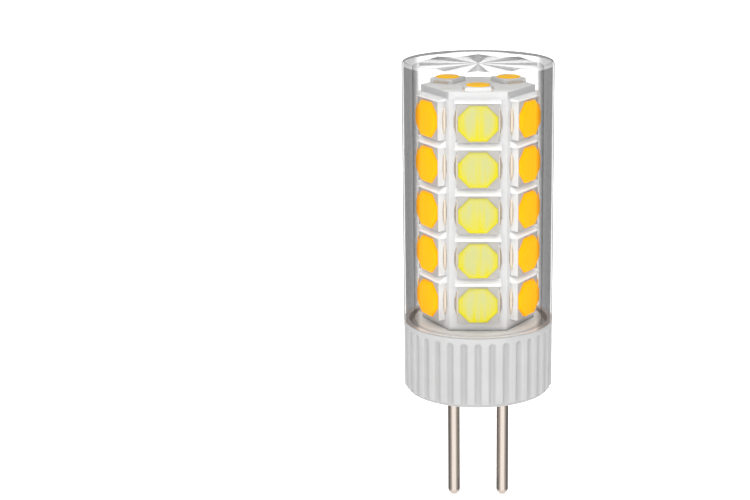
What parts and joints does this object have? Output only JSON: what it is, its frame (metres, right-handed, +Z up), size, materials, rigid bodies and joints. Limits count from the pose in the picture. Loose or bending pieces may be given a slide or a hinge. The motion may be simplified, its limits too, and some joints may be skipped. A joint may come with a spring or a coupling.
{
  "type": "corn led bulb",
  "caption": "Corn LED bulb: a faceted column of LED packages under a clear cylindrical cover, on a fluted base with straight contact pins for a low-voltage holder.",
  "frame": {"origin": "centre of the base's underside, which seats on the holder", "axes": "+Z up the lamp's axis towards the cover's top, X through both pins, -Y the front flat of the LED column"},
  "size_m": [0.016, 0.016, 0.0483],
  "materials": {
    "clear_cover": "clear polished moulding",
    "base_plastic": "satin pale grey moulding",
    "pin_metal": "drawn wire with bright nickel plating",
    "carrier_plastic": "white reflective moulding",
    "board_white": "white solder mask",
    "board_cream": "cream laminate",
    "top_board_metal": "white faced board with bright cut edges",
    "housing_plastic": "satin warm grey moulding",
    "phosphor": "yellow silicone",
    "terminal_metal": "pale plated metal",
    "solder": "bright solder",
    "component_black": "black moulding compound",
    "capacitor_can": "drawn can"
  },
  "bodies": {
    "root": {"cover": "clear_cover", "base": "base_plastic", "contact_pin_left": "pin_metal", "contact_pin_right": "pin_metal", "pin_solder_joints": "solder", "led_carrier": "carrier_plastic", "top_board": "top_board_metal", "top_led_housings": "housing_plastic", "top_led_phosphors": "phosphor", "top_led_terminals": "terminal_metal", "driver_board": "board_cream", "bridge_rectifier": "component_black", "smoothing_capacitor": "capacitor_can", "driver_chip": "component_black", "sense_resistors": "component_black", "strip_board_1": "board_white", "led_housings_1": "housing_plastic", "led_phosphors_1": "phosphor", "led_terminals_1": "terminal_metal", "strip_board_2": "board_white", "led_housings_2": "housing_plastic", "led_phosphors_2": "phosphor", "led_terminals_2": "terminal_metal", "strip_board_3": "board_white", "led_housings_3": "housing_plastic", "led_phosphors_3": "phosphor", "led_terminals_3": "terminal_metal", "strip_board_4": "board_white", "led_housings_4": "housing_plastic", "led_phosphors_4": "phosphor", "led_terminals_4": "terminal_metal", "strip_board_5": "board_white", "led_housings_5": "housing_plastic", "led_phosphors_5": "phosphor", "led_terminals_5": "terminal_metal", "strip_board_6": "board_white", "led_housings_6": "housing_plastic", "led_phosphors_6": "phosphor", "led_terminals_6": "terminal_metal"}
  },
  "joints": []
}
